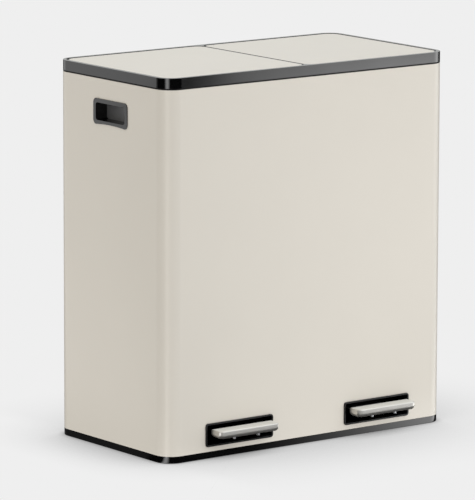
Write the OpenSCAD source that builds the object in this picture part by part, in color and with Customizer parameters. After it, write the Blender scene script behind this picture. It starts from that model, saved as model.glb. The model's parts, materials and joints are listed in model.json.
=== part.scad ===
// Twin-compartment pedal bin: a steel shell between two plastic bands, two hinged lids,
// and for each lid a pedal, a lever, a push rod and a lid crank.
// Origin at the centre of the body's footprint on the floor; front faces -Y, up is +Z.

/* [Body] */
// Width of the body, left to right
body_w = 598; // [500:1:760]
// Depth of the body, front to back
body_d = 318; // [290:1:400]
// Height of the body above the floor
body_h = 650; // [480:1:800]
// Radius of the four upright corners
corner_r = 30; // [20:1:45]
// Thickness of the steel sheet of the shell
sheet_t = 1; // [0.6:0.1:2]
// Height of the plastic band at the top
top_band_h = 19; // [16:1:30]
// Height of the top of the plastic band at the bottom, above the floor
base_band_h = 12; // [10:1:16]
// Width of the top frame's rim round the lids
rim_w = 7; // [6:0.5:10]
// Height of the rubber feet below the base tray
foot_h = 0.8; // [0.6:0.1:2]

/* [Lids] */
// Thickness of a lid
lid_t = 14; // [12:0.5:16]
// How far the lids lie below the top of the rim
lid_drop = 0.5; // [0:0.1:1]
// Gap between the lids and the rim at the front and sides
lid_gap = 1.6; // [1:0.1:3]
// Gap between the lids and the rim at the back
lid_back_gap = 2.5; // [2.2:0.1:5]
// Gap between the two lids
lid_mid_gap = 3; // [1.6:0.1:4]
// Radius of the lid corners at the middle of the bin
lid_mid_r = 16; // [8:1:24]
// Width of the lid frame's edge round the steel panel
lid_border = 1.2; // [1:0.1:4]
// How far a lid opens, in degrees
lid_open = 80; // [60:1:80]

/* [Pedals] */
// Distance of each pedal from the middle of the bin
pedal_x = 148; // [120:1:170]
// Width of a pedal pad
pad_w = 126; // [90:1:130]
// Depth of a pedal pad, front to back
pad_d = 27; // [20:1:40]
// Thickness of a pedal pad
pad_t = 14; // [10:0.5:16]
// Width of the bezel round a pedal
bezel_w = 142; // [138:1:160]
// Height of the bezel round a pedal
bezel_h = 40; // [38:1:42]
// Height of the lever's axle above the floor
axle_z = 35.5; // [35:0.5:36]
// Distance of the lever's axle behind the front of the body
axle_in = 109; // [99:1:119]

/* [Side handles] */
// Width of a side handle's flange
handle_w = 97; // [80:1:120]
// Height of a side handle's flange
handle_h = 44; // [38:1:50]
// Depth of the finger recess
handle_depth = 22; // [14:1:24]
// Distance of the handle's centre below the top of the bin
handle_below_top = 75.5; // [70:0.5:100]

/* [Buckets] */
// Gap between a bucket's rim and the edges of the opening above it
bucket_gap = 2.4; // [1:0.1:20]
// Gap between a bucket's rim and the push rod behind it
bucket_rod_gap = 5.2; // [4.5:0.1:40]
// Wall of a bucket
bucket_wall = 2; // [1.5:0.5:4]

/* [Mechanism] */
// Radius of the lid crank at the ends of its stroke
crank_r = 20; // [18:1:22]
// Radius of the push rod
rod_r = 4; // [3:0.5:5]
// Radius of the pin at the top of the push rod
rod_pin_r = 2.5; // [2:0.25:3]
// Radius of the pedal axle
axle_r = 4; // [3:0.5:5]
// Radius of the lid hinge pins
hinge_pin_r = 1.25; // [1:0.05:1.3]

/* [Hidden] */
$fn = 64;

cream = "#dcd8cf";
black = "#232325";
steel = "#b9bbbd";
rubber = "#2b2b2b";

fit = 0.3;              // loose gap between pieces that only lie near each other
press = 0.02;           // gap of a pin held fast in its bore
run = 0.06;             // gap of a pin that turns or slides in its bore
wall = 3;               // wall of the plastic mouldings
past = 1;               // how far a cut runs past the face that it opens

shell_top = body_h - top_band_h;
skirt_in = sheet_t + fit;             // inset of a moulding's skirt inside the shell
skirt_h = 25;                         // height of the top frame's skirt
back_wall = body_d / 2 - sheet_t;     // inner face of the shell's back

// Lids: upright planes of the outline, and the hinge axis
lid_top = body_h - lid_drop;
lid_bottom = lid_top - lid_t;
lid_x0 = lid_mid_gap / 2;
lid_x1 = body_w / 2 - rim_w - lid_gap;
lid_y0 = -(body_d / 2 - rim_w - lid_gap);
lid_y1 = body_d / 2 - rim_w - lid_back_gap;
lid_out_r = corner_r - rim_w - lid_gap;
lid_mid_x = (lid_x0 + lid_x1) / 2;
panel_t = 0.8;
lid_plate_t = 2;
lid_skirt_t = 2;
hinge_y = lid_y1 - 12;
hinge_z = lid_top - 3.5;              // near the lid's top, so that its back corners clear the rim
plate_bottom = lid_top - panel_t - lid_plate_t;
ear_r = 2.5;
ear_w = 12;
ear_inset = 59.6;                     // distance of the hinges from the ends of a lid
ear_x = (lid_x1 - lid_x0) / 2 - ear_inset;
lug_w = 7;
lug_r = 2.6;
lug_gap = 0.6;
rib_x = 45;                           // distance of the stiffening ribs from the crank's side
rib_t = 2;
rib_h = 6;
hinge_notch = ear_w + 2 * lug_gap;
bridge_t = 2;                         // lid frame left over the notch behind a hinge
frame_back_r = lid_out_r - 2.4;       // the rim stands clear of the lid's back corners here

// Ledge under the lids and the bar between the compartments
ledge_w = 10;
ledge_top = lid_bottom - 1;
ledge_end = hinge_y - 16;
bumper_h = lid_bottom - ledge_top - 0.1;
bar_w = 16;
bar_top = ledge_top - 6;
bar_h = 8;

// Push rod: it stands where the crank pin is at both ends of the stroke
rod_y = hinge_y - crank_r * cos(lid_open / 2);
rod_lift = 2 * crank_r * sin(lid_open / 2);
rod_pin_z = hinge_z - rod_lift / 2;
rod_top = rod_pin_z + 5;
crank_side = rod_r + 1;               // distance of the crank plate beside the rod's axis
crank_t = 4;
slot_half = rod_pin_r + 1.1;
slot_in = crank_r * cos(lid_open / 2) - 0.5;
slot_out = crank_r + 0.4;
crank_half = slot_half + 4;
flange_w = 16;
flange_t = 1.5;
flange_y = [-34, -8];
crank_screw_y = [-28, -14];
crank_screw_r = 1.5;

// Pedal lever: level at half stroke, so it lies tilted by half of its swing at rest
axle_y = axle_in - body_d / 2;
lever_tilt = atan(rod_lift / 2 / (rod_y - axle_y));
lever_len = (rod_y - axle_y) / cos(lever_tilt);
lever_t = 6;
lever_lap = 3;                        // of the lever's front arm over the tongue
lever_w = 60;
tip_r = 6;
tip_w = 20;
tip_z = axle_z - lever_len * sin(lever_tilt);
foot_z = tip_z + tip_r + fit;
lever_hub_r = 7;
bracket_x = 60;                       // distance of the axle brackets from the pedal's middle
bracket_t = 5;
bracket_r = 12;                       // of the bracket round the axle

// Bezel
bezel_z = axle_z + 5;
bezel_rim = 3;
bezel_r = 5;
bezel_proud = 2.5;
bezel_collar = 1.5;
bezel_reach = 10;

// Pedal pad: it swings down in front of the bezel
pad_gap = 4;                          // between the bezel and the pad
pad_y1 = -(body_d / 2 + bezel_proud + pad_gap);
pad_y0 = pad_y1 - pad_d;
pad_z0 = axle_z + 2;
pad_skin = 1.2;
pad_corner = 9;
tongue_z = pad_z0 + 3.5;
tongue_t = 3;
tongue_w = 80;
tongue_y0 = pad_y0 + pad_skin + 3;
tongue_end = -(body_d / 2 - bezel_reach - 1);
lever_front = axle_y - tongue_end + lever_lap;
pad_screw_x = 25;
pad_screw_head = 8;                   // a bolt whose head shows below the pad
pad_screw_r = 2.7;

// Side handle
handle_z = body_h - handle_below_top;
handle_rim = 7;
handle_r = 8;
handle_proud = 1.5;
handle_hook = 8;                      // height of the finger pocket above the opening
handle_arch = 2;                      // rise of the flange's lower edge

// Base and floor
floor_z0 = axle_z + 17.5;
floor_t = 2;
floor_top = floor_z0 + floor_t;
tray_t = 3;
boss_y = 120;
boss_r = 6;

// Buckets
bucket_x0 = bar_w / 2 + 2;
bucket_y0 = lid_y0 + ledge_w + bucket_gap;
bucket_w = lid_x1 - ledge_w - bucket_gap - bucket_x0;
bucket_d = rod_y - rod_r - bucket_rod_gap - bucket_y0;
bucket_x = bucket_x0 + bucket_w / 2;
bucket_y = bucket_y0 + bucket_d / 2;
bucket_top = bar_top - 14;
bucket_rim = 7;
bucket_rim_t = 3;
bucket_draft = 8;
bucket_r = 25;

// Guides and dampers on the back wall
guide_h = 20;
guide_w = 24;
guide_low_z = 90;
guide_high_z = shell_top - 71;
damper_z = guide_low_z + 210;
damper_len = 80;
damper_r = 10;
damper_bore = 8;
damper_end = 4;
piston_h = 8;
screw_r = 2;
screw_z = [guide_low_z + guide_h / 2, damper_z + 20, damper_z + 60, guide_high_z + guide_h / 2];

// ---- shared shapes -------------------------------------------------------

// Right-hand piece as drawn, or its mirror image on the left
module on_side(side) {
    if (side < 0) mirror([1, 0, 0]) children();
    else children();
}

// Rounded rectangle about the origin
module round_rect(w, d, r) {
    square([w - 2 * r, d], center = true);
    square([w, d - 2 * r], center = true);
    for (sx = [-1, 1], sy = [-1, 1]) translate([sx * (w / 2 - r), sy * (d / 2 - r)]) circle(r);
}

// Plan of the body, moved in by inset
module body_plan(inset) {
    round_rect(body_w - 2 * inset, body_d - 2 * inset, corner_r - inset);
}

// A band of the body between two insets
module body_ring(outer, inner) {
    difference() {
        body_plan(outer);
        body_plan(inner);
    }
}

// Rectangle with round corners: ri at the middle of the bin, rf and rb at its outer front and back
module half_plan(x0, x1, y0, y1, ri, rf, rb) {
    translate([x0 + ri, y0]) square([x1 - x0 - ri - max(rf, rb), y1 - y0]);
    translate([x0, y0 + ri]) square([ri + 1, y1 - y0 - 2 * ri]);
    translate([x1 - max(rf, rb) - 1, y0 + rf]) square([max(rf, rb) + 1, y1 - y0 - rf - rb]);
    translate([x1 - rf - 1, y0]) square([1, rf + 1]);
    translate([x1 - max(rf, rb) - 1, y1 - rb - 1]) square([max(rf, rb) - rb + 1, rb + 1]);
    for (y = [y0 + ri, y1 - ri]) translate([x0 + ri, y]) circle(ri);
    translate([x1 - rf, y0 + rf]) circle(rf);
    translate([x1 - rb, y1 - rb]) circle(rb);
}

// Plan of the right-hand lid, moved in by inset
module lid_plan(inset) {
    half_plan(lid_x0 + inset, lid_x1 - inset, lid_y0 + inset, lid_y1 - inset,
              lid_mid_r - inset, lid_out_r - inset, lid_out_r - inset);
}

// Opening of the top frame: the two lids with the gap round them
module frame_opening() {
    for (side = [-1, 1]) on_side(side)
        half_plan(lid_x0 - lid_gap, lid_x1 + lid_gap, lid_y0 - lid_gap, lid_y1 + lid_back_gap,
                  lid_mid_r + lid_gap, lid_out_r + lid_gap, frame_back_r);
}

// Screw along +Z with its head's underside at the origin and its shank upwards
module screw(head_r, head_h, shank_r, length) {
    difference() {
        translate([0, 0, -head_h]) cylinder(h = head_h, r = head_r);
        for (a = [0, 90]) translate([0, 0, -head_h]) rotate([0, 0, a])
            cube([head_r * 1.2, head_r * 0.28, head_h], center = true);
    }
    cylinder(h = length, r = shank_r);
}

// Outline in the Y-Z plane, extruded along +X from x0 by w
module across(x0, w) {
    translate([x0, 0, 0]) rotate([90, 0, 90]) linear_extrude(w) children();
}

// ---- body -----------------------------------------------------------------

module pedal_cut(clear, depth) {
    for (side = [-1, 1]) translate([side * pedal_x, -body_d / 2 + depth, bezel_z])
        rotate([90, 0, 0]) linear_extrude(depth + past)
            round_rect(bezel_w - 2 * bezel_rim + 2 * bezel_collar + 2 * clear,
                       bezel_h - 2 * bezel_rim + 2 * bezel_collar + 2 * clear, 2);
}

module body_shell() {
    cup_w = handle_w - 2 * handle_rim + 2 * wall;
    cup_h = handle_h - 2 * handle_rim + 2 * wall;
    color(cream) difference() {
        translate([0, 0, base_band_h]) linear_extrude(shell_top - base_band_h) body_ring(0, sheet_t);
        pedal_cut(fit, 2 * sheet_t);
        for (side = [-1, 1]) translate([side * body_w / 2, 0, handle_z + 0.5])
            cube([4 * sheet_t, cup_w + 2 * fit, cup_h + 2 * fit + 1], center = true);
        for (side = [-1, 1], z = screw_z) translate([side * pedal_x, back_wall - past, z])
            rotate([-90, 0, 0]) cylinder(h = sheet_t + 2 * past, r = screw_r + 0.1);
        translate([-0.6, body_d / 2 - 0.4 * sheet_t, base_band_h - past])
            cube([1.2, sheet_t, body_h]);
    }
}

module top_frame() {
    color(black) {
        translate([0, 0, shell_top]) linear_extrude(top_band_h) difference() {
            body_plan(0);
            frame_opening();
        }
        translate([0, 0, shell_top]) linear_extrude(ledge_top - shell_top) intersection() {
            difference() {
                body_plan(rim_w - 1);
                for (side = [-1, 1]) on_side(side) lid_plan(ledge_w);
            }
            translate([-body_w / 2, -body_d / 2]) square([body_w, body_d / 2 + ledge_end]);
        }
        translate([0, 0, shell_top - skirt_h]) linear_extrude(skirt_h + 1)
            body_ring(skirt_in, skirt_in + wall);
        translate([-bar_w / 2, -body_d / 2 + skirt_in + 1, bar_top - bar_h])
            cube([bar_w, body_d - 2 * skirt_in - 2, bar_h]);
        for (side = [-1, 1], e = [-1, 1]) on_side(side) hinge_ear(lid_mid_x + e * ear_x);
    }
}

// Post on a shelf of the top frame, with the bore of a hinge pin
module hinge_ear(x) {
    shelf_top = hinge_z - 17;
    shelf_h = 10;
    shelf_y = hinge_y - ear_r;
    difference() {
        union() {
            across(x - ear_w / 2, ear_w) union() {
                translate([hinge_y, hinge_z]) circle(ear_r);
                translate([shelf_y, shelf_top - 1]) square([2 * ear_r, hinge_z - shelf_top + 1]);
                translate([shelf_y, shelf_top - shelf_h])
                    square([body_d / 2 - skirt_in - 1 - shelf_y, shelf_h]);
            }
        }
        translate([x - ear_w, hinge_y, hinge_z]) rotate([0, 90, 0])
            cylinder(h = 2 * ear_w, r = hinge_pin_r + press);
    }
}

module base_tray() {
    color(black) difference() {
        union() {
            translate([0, 0, foot_h]) linear_extrude(tray_t) body_plan(0);
            translate([0, 0, foot_h]) linear_extrude(base_band_h - foot_h) body_ring(0, skirt_in + wall);
            translate([0, 0, base_band_h - 1]) linear_extrude(floor_z0 - base_band_h + 1)
                body_ring(skirt_in, skirt_in + wall);
            translate([-wall / 2, -body_d / 2 + skirt_in + 1, foot_h])
                cube([wall, body_d - 2 * skirt_in - 2, floor_z0 - foot_h]);
            for (y = [-boss_y, 0, boss_y]) translate([0, y, foot_h])
                cylinder(h = floor_z0 - foot_h, r = boss_r);
            for (side = [-1, 1], e = [-1, 1])
                across(side * pedal_x + e * bracket_x - bracket_t / 2, bracket_t) {
                    translate([axle_y - bracket_r, foot_h]) square([2 * bracket_r, axle_z - foot_h]);
                    translate([axle_y, axle_z]) circle(bracket_r);
                }
        }
        for (side = [-1, 1]) translate([side * pedal_x - bezel_w / 2, -body_d / 2, base_band_h + 1])
            cube([bezel_w, bezel_reach + 5, floor_z0]);
        for (side = [-1, 1]) translate([side * pedal_x - bracket_x - wall * 2, axle_y, axle_z])
            rotate([0, 90, 0]) cylinder(h = 2 * bracket_x + 4 * wall, r = axle_r + press);
        for (y = [-boss_y, 0, boss_y]) translate([0, y, floor_z0 - 20])
            cylinder(h = 20 + past, r = 1.6);
    }
}

module inner_floor() {
    hole_w = 28;
    color(black) difference() {
        translate([0, 0, floor_z0]) linear_extrude(floor_t) body_plan(skirt_in);
        for (side = [-1, 1]) {
            translate([side * pedal_x - bezel_w / 2 - 1, -body_d / 2, floor_z0 - past])
                cube([bezel_w + 2, bezel_reach + 4, floor_t + 2 * past]);
            translate([side * pedal_x - hole_w / 2, rod_y - 14, floor_z0 - past])
                cube([hole_w, 28, floor_t + 2 * past]);
        }
        for (y = [-boss_y, 0, boss_y]) translate([0, y, floor_z0 - past])
            cylinder(h = floor_t + 2 * past, r = 1.8);
    }
}

module floor_screws() {
    color(steel) for (y = [-boss_y, 0, boss_y]) translate([0, y, floor_top])
        rotate([180, 0, 0]) screw(3.5, 2.2, 1.5, 16);
}

module feet() {
    color(rubber) {
        cylinder(h = foot_h, r = 14);
        for (sx = [-1, 1], sy = [-1, 1])
            translate([sx * (body_w / 2 - 40), sy * (body_d / 2 - 40), 0]) cylinder(h = foot_h, r = 14);
    }
}

module lid_bumpers() {
    color(rubber) for (side = [-1, 1], x = [lid_x0 + 40, lid_x1 - 40])
        translate([side * x, lid_y0 + 4, ledge_top]) cylinder(h = bumper_h, r = 3);
}

// ---- side handles ---------------------------------------------------------

module side_handle() {
    open_w = handle_w - 2 * handle_rim;
    open_h = handle_h - 2 * handle_rim;
    arch_r = (pow(open_w / 2, 2) + pow(handle_arch, 2)) / (2 * handle_arch);
    face = body_w / 2;
    color(black) difference() {
        union() {
            translate([face, 0, handle_z]) rotate([90, 0, 90]) linear_extrude(handle_proud) difference() {
                round_rect(handle_w, handle_h, handle_r);
                translate([0, -handle_h / 2 + handle_arch - arch_r]) circle(arch_r, $fn = 256);
            }
            translate([face - handle_depth - wall, -open_w / 2 - 2, handle_z - open_h / 2 - 2])
                cube([handle_depth + wall + 0.5, open_w + 4, open_h + 4]);
            translate([face - handle_depth - wall, -open_w / 2 - 2, handle_z])
                cube([handle_depth + wall - sheet_t - 1, open_w + 4, open_h / 2 + 2 + handle_hook]);
        }
        translate([face - handle_depth, 0, handle_z]) rotate([90, 0, 90])
            linear_extrude(handle_depth + handle_proud + past) round_rect(open_w, open_h, 5);
        translate([face - handle_depth, -open_w / 2, handle_z])
            cube([handle_depth - sheet_t - 4, open_w, open_h / 2 + handle_hook]);
    }
}

// ---- pedals ---------------------------------------------------------------

module pedal_bezel() {
    open_w = bezel_w - 2 * bezel_rim;
    open_h = bezel_h - 2 * bezel_rim;
    color(black) translate([pedal_x, -body_d / 2, bezel_z]) rotate([90, 0, 0]) difference() {
        union() {
            linear_extrude(bezel_proud) round_rect(bezel_w, bezel_h, bezel_r);
            translate([0, 0, -bezel_reach]) linear_extrude(bezel_reach + 0.5)
                round_rect(open_w + 2 * bezel_collar, open_h + 2 * bezel_collar, 2);
        }
        translate([0, 0, -bezel_reach - past]) linear_extrude(bezel_reach + bezel_proud + 2 * past)
            round_rect(open_w, open_h, 2);
    }
}

module pedal_axle() {
    color(steel) translate([pedal_x - bracket_x - 7, axle_y, axle_z]) rotate([0, 90, 0])
        cylinder(h = 2 * bracket_x + 14, r = axle_r);
}

module axle_clips() {
    clip_x = bracket_x + bracket_t / 2 + fit;
    color(steel) for (side = [-1, 1], e = [-1, 1])
        translate([side * pedal_x + e * (clip_x + 0.75), axle_y, axle_z]) rotate([0, 90, 0])
            difference() {
                cylinder(h = 1.5, r = axle_r + 3, center = true);
                cylinder(h = 3, r = axle_r + press, center = true);
            }
}

module pedal_lever() {
    color(steel) translate([pedal_x, 0, 0]) difference() {
        union() {
            translate([0, axle_y, axle_z]) rotate([-lever_tilt, 0, 0]) {
                translate([-lever_w / 2, -lever_front, -lever_t / 2]) cube([lever_w, lever_front + 9, lever_t]);
                translate([-12, 0, -lever_t / 2]) cube([24, lever_len - tip_r - fit, lever_t]);
                translate([-6, lever_len - tip_r - 3, -1.5]) cube([12, tip_r + 3, 3]);
            }
            translate([-bracket_x + bracket_t / 2 + 1, axle_y, axle_z]) rotate([0, 90, 0])
                cylinder(h = 2 * bracket_x - bracket_t - 2, r = lever_hub_r);
            translate([-tongue_w / 2, tongue_y0, tongue_z])
                cube([tongue_w, tongue_end - tongue_y0, tongue_t]);
        }
        translate([-bracket_x, axle_y, axle_z]) rotate([0, 90, 0])
            cylinder(h = 2 * bracket_x, r = axle_r + run);
        for (e = [-1, 1]) translate([e * pad_screw_x, (pad_y0 + pad_y1) / 2, tongue_z - past])
            cylinder(h = tongue_t + 2 * past, r = 1.7);
    }
}

// Outline of the pad, moved in by inset, with round corners at the front
module pad_plan(inset) {
    w = pad_w - 2 * inset;
    r = pad_corner - inset;
    translate([-w / 2, pad_y0 + inset + r]) square([w, pad_y1 - pad_y0 - inset - r]);
    translate([-w / 2 + r, pad_y0 + inset]) square([w - 2 * r, r + 1]);
    for (e = [-1, 1]) translate([e * (w / 2 - r), pad_y0 + inset + r]) circle(r);
}

module pedal_pad() {
    color(steel) translate([pedal_x, 0, pad_z0]) difference() {
        linear_extrude(pad_t) pad_plan(0);
        translate([0, 0, -past]) linear_extrude(pad_t - pad_skin + past) difference() {
            pad_plan(pad_skin);
            translate([-pad_w / 2, pad_y1 - pad_skin]) square([pad_w, 2 * pad_skin]);
        }
        translate([-tongue_w / 2 - fit, pad_y1 - 2 * pad_skin, -past])
            cube([tongue_w + 2 * fit, 4 * pad_skin, tongue_z + tongue_t - pad_z0 + fit + past]);
    }
}

module pedal_core() {
    color(black) translate([pedal_x, 0, 0]) difference() {
        translate([0, 0, pad_z0 + 0.3]) linear_extrude(pad_t - pad_skin - 0.4) difference() {
            pad_plan(pad_skin + 0.1);
            translate([-pad_w / 2, pad_y1 - pad_skin - 0.1]) square([pad_w, 3]);
        }
        translate([-tongue_w / 2 - fit, tongue_y0 - fit, pad_z0 - past])
            cube([tongue_w + 2 * fit, pad_d, tongue_z + tongue_t - pad_z0 + past]);
        for (e = [-1, 1]) translate([e * pad_screw_x, (pad_y0 + pad_y1) / 2, pad_z0])
            cylinder(h = pad_t - pad_skin - 2, r = 1.6);
    }
}

module pedal_screws() {
    color(steel) for (e = [-1, 1])
        translate([pedal_x + e * pad_screw_x, (pad_y0 + pad_y1) / 2, tongue_z])
            screw(pad_screw_r, pad_screw_head, 1.5, 6);
}

module lever_tip() {
    color(black) translate([pedal_x, axle_y, axle_z]) rotate([-lever_tilt, 0, 0])
        difference() {
            translate([-tip_w / 2, lever_len, 0]) rotate([0, 90, 0]) cylinder(h = tip_w, r = tip_r);
            translate([-6.1, lever_len - tip_r - 1, -1.6]) cube([12.2, tip_r + 1.2, 3.2]);
        }
}

// ---- push rods, guides and dampers ----------------------------------------

module push_rod() {
    color(steel) difference() {
        union() {
            translate([pedal_x, rod_y, foot_z + 1]) cylinder(h = rod_top - foot_z - 1, r = rod_r);
            translate([pedal_x, rod_y, rod_pin_z]) rotate([0, 90, 0])
                cylinder(h = crank_side + crank_t + 2, r = rod_pin_r);
        }
    }
}

module rod_foot() {
    color(black) translate([pedal_x, rod_y, foot_z]) difference() {
        union() {
            cylinder(h = 4, r = 9);
            cylinder(h = 12, r = rod_r + 2);
        }
        translate([0, 0, 1]) cylinder(h = 20, r = rod_r + press);
    }
}

// Plate and eye that carry a rod-side moulding on the back wall
module wall_block(w, eye_r, h) {
    difference() {
        union() {
            cylinder(h = h, r = eye_r);
            translate([-w / 2, 0, 0]) cube([w, back_wall - rod_y, h]);
        }
        children();
    }
}

module rod_guides() {
    color(black) for (z = [guide_low_z, guide_high_z]) translate([pedal_x, rod_y, z])
        wall_block(guide_w * 0.75, guide_w / 2 - 1, guide_h) {
            translate([0, 0, -past]) cylinder(h = guide_h + 2 * past, r = rod_r + run);
            translate([0, back_wall - rod_y - 14, guide_h / 2]) rotate([-90, 0, 0])
                cylinder(h = 16, r = screw_r + press);
        }
}

module damper_cylinder() {
    color(steel) translate([pedal_x, rod_y, damper_z])
        wall_block(16, damper_r, damper_len) {
            translate([0, 0, -past]) cylinder(h = damper_len + 2 * past, r = rod_r + run);
            translate([0, 0, damper_end]) cylinder(h = damper_len - 2 * damper_end, r = damper_bore);
            for (z = [20, 60]) translate([0, back_wall - rod_y - 14, z]) rotate([-90, 0, 0])
                cylinder(h = 16, r = screw_r + press);
        }
}

module damper_piston() {
    color(black) translate([pedal_x, rod_y, damper_z + damper_end + 8]) difference() {
        cylinder(h = piston_h, r = damper_bore - run);
        translate([0, 0, -past]) cylinder(h = piston_h + 2 * past, r = rod_r + press);
    }
}

module guide_screws() {
    color(steel) for (side = [-1, 1], z = screw_z) translate([side * pedal_x, body_d / 2, z])
        rotate([90, 0, 0]) screw(4, 2.2, screw_r, 12);
}

// ---- lids -----------------------------------------------------------------

module hinge_pins() {
    half = ear_w / 2 + lug_gap + lug_w - 0.4;
    color(steel) for (e = [-1, 1]) translate([lid_mid_x + e * ear_x - half, hinge_y, hinge_z])
        rotate([0, 90, 0]) cylinder(h = 2 * half, r = hinge_pin_r);
}

module lid_panel() {
    color(cream) translate([0, 0, lid_top - panel_t]) linear_extrude(panel_t) lid_plan(lid_border + 0.1);
}

module lid_frame() {
    lug_x = ear_w / 2 + lug_gap;
    color(black) difference() {
        union() {
            difference() {
                translate([0, 0, lid_bottom]) linear_extrude(lid_t) lid_plan(0);
                translate([0, 0, lid_top - panel_t]) linear_extrude(panel_t + past) lid_plan(lid_border);
                translate([0, 0, lid_bottom - past]) linear_extrude(plate_bottom - lid_bottom + past)
                    lid_plan(lid_skirt_t);
                for (e = [-1, 1]) translate([lid_mid_x + e * ear_x - hinge_notch / 2, 0, lid_bottom - past]) {
                    translate([0, hinge_y - ear_r - 0.5, 0])
                        cube([hinge_notch, lid_y1 - lid_skirt_t - hinge_y + ear_r + 0.5, lid_t + past]);
                    translate([0, hinge_y, 0])
                        cube([hinge_notch, lid_y1 - hinge_y + past, lid_t - bridge_t + past]);
                }
            }
            for (e = [-1, 1]) translate([pedal_x + e * rib_x - rib_t / 2, lid_y0 + 1, plate_bottom - rib_h])
                cube([rib_t, lid_y1 - lid_y0 - 2, rib_h + 0.5]);
            for (e = [-1, 1], s = [-1, 1])
                across(lid_mid_x + e * ear_x + (s < 0 ? -lug_x - lug_w : lug_x), lug_w) {
                    translate([hinge_y, hinge_z]) circle(lug_r);
                    translate([hinge_y - lug_r, hinge_z]) square([2 * lug_r, plate_bottom - hinge_z + 0.5]);
                }
        }
        for (e = [-1, 1]) translate([lid_mid_x + e * ear_x - 2 * ear_w, hinge_y, hinge_z]) rotate([0, 90, 0])
            cylinder(h = 4 * ear_w, r = hinge_pin_r + run);
        for (y = crank_screw_y)
            translate([pedal_x + crank_side + flange_w / 2 + 1, hinge_y + y, plate_bottom - past])
                cylinder(h = lid_plate_t - 0.1 + past, r = crank_screw_r + press);
    }
}

module lid_crank() {
    color(steel) difference() {
        union() {
            across(pedal_x + crank_side, crank_t) difference() {
                union() {
                    translate([hinge_y, hinge_z]) rotate(180 + lid_open / 2)
                        translate([8, -crank_half]) square([slot_out + slot_half - 5, 2 * crank_half]);
                    translate([hinge_y + flange_y[0], hinge_z - 6])
                        square([flange_y[1] - flange_y[0], plate_bottom - hinge_z + 6]);
                }
                translate([hinge_y, hinge_z]) rotate(180 + lid_open / 2) {
                    translate([slot_in, -slot_half]) square([slot_out - slot_in, 2 * slot_half]);
                    for (r = [slot_in, slot_out]) translate([r, 0]) circle(slot_half);
                }
            }
            translate([pedal_x + crank_side, hinge_y + flange_y[0], plate_bottom - flange_t])
                cube([flange_w, flange_y[1] - flange_y[0], flange_t]);
        }
        for (y = crank_screw_y)
            translate([pedal_x + crank_side + flange_w / 2 + 1, hinge_y + y, plate_bottom - flange_t - past])
                cylinder(h = flange_t + 2 * past, r = crank_screw_r + 0.1);
    }
}

module crank_screws() {
    color(steel) for (y = crank_screw_y)
        translate([pedal_x + crank_side + flange_w / 2 + 1, hinge_y + y, plate_bottom - flange_t])
            screw(3, 1.8, crank_screw_r, flange_t + lid_plate_t - 0.3);
}

// ---- buckets --------------------------------------------------------------

// Tapered solid of the bucket, moved in by inset
module bucket_body(inset, z0, z1) {
    w = bucket_w - 2 * bucket_rim;
    d = bucket_d - 2 * bucket_rim;
    hull() {
        translate([0, 0, z0]) linear_extrude(0.1)
            round_rect(w - 2 * bucket_draft - 2 * inset, d - 2 * bucket_draft - 2 * inset,
                       bucket_r - inset, $fn = 32);
        translate([0, 0, z1 - 0.1]) linear_extrude(0.1)
            round_rect(w - 2 * inset, d - 2 * inset, bucket_r - inset, $fn = 32);
    }
}

module bucket() {
    color(black) translate([bucket_x, bucket_y, 0]) difference() {
        union() {
            bucket_body(0, floor_top, bucket_top);
            translate([0, 0, bucket_top - bucket_rim_t]) linear_extrude(bucket_rim_t)
                round_rect(bucket_w, bucket_d, bucket_r + bucket_rim);
            translate([0, 0, bucket_top - 12]) linear_extrude(12) difference() {
                round_rect(bucket_w, bucket_d, bucket_r + bucket_rim);
                round_rect(bucket_w - 3, bucket_d - 3, bucket_r + bucket_rim - 1.5);
            }
        }
        bucket_body(bucket_wall, floor_top + bucket_wall, bucket_top + 1);
    }
}

// ---- nodes ----------------------------------------------------------------

body_shell();
top_frame();
base_tray();
inner_floor();
floor_screws();
feet();
lid_bumpers();
on_side(-1) side_handle();  // handle_left
on_side(1) side_handle();  // handle_right
on_side(-1) pedal_bezel();  // pedal_bezel_left
on_side(1) pedal_bezel();  // pedal_bezel_right
on_side(-1) bucket();  // bucket_left
on_side(1) bucket();  // bucket_right
on_side(-1) pedal_axle();  // pedal_axle_left
on_side(1) pedal_axle();  // pedal_axle_right
axle_clips();
on_side(-1) hinge_pins();  // hinge_pins_left
on_side(1) hinge_pins();  // hinge_pins_right
on_side(-1) damper_cylinder();  // damper_cylinder_left
on_side(1) damper_cylinder();  // damper_cylinder_right
on_side(-1) rod_guides();  // rod_guides_left
on_side(1) rod_guides();  // rod_guides_right
guide_screws();
on_side(-1) lid_panel();  // lid_panel_left
on_side(1) lid_panel();  // lid_panel_right
on_side(-1) lid_frame();  // lid_frame_left
on_side(1) lid_frame();  // lid_frame_right
on_side(-1) lid_crank();  // lid_crank_left
on_side(1) lid_crank();  // lid_crank_right
on_side(-1) crank_screws();  // crank_screws_left
on_side(1) crank_screws();  // crank_screws_right
on_side(-1) pedal_lever();  // pedal_lever_left
on_side(1) pedal_lever();  // pedal_lever_right
on_side(-1) pedal_pad();  // pedal_pad_left
on_side(1) pedal_pad();  // pedal_pad_right
on_side(-1) pedal_core();  // pedal_core_left
on_side(1) pedal_core();  // pedal_core_right
on_side(-1) pedal_screws();  // pedal_screws_left
on_side(1) pedal_screws();  // pedal_screws_right
on_side(-1) lever_tip();  // lever_tip_left
on_side(1) lever_tip();  // lever_tip_right
on_side(-1) push_rod();  // push_rod_left
on_side(1) push_rod();  // push_rod_right
on_side(-1) rod_foot();  // rod_foot_left
on_side(1) rod_foot();  // rod_foot_right
on_side(-1) damper_piston();  // damper_piston_left
on_side(1) damper_piston();  // damper_piston_right
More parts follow.
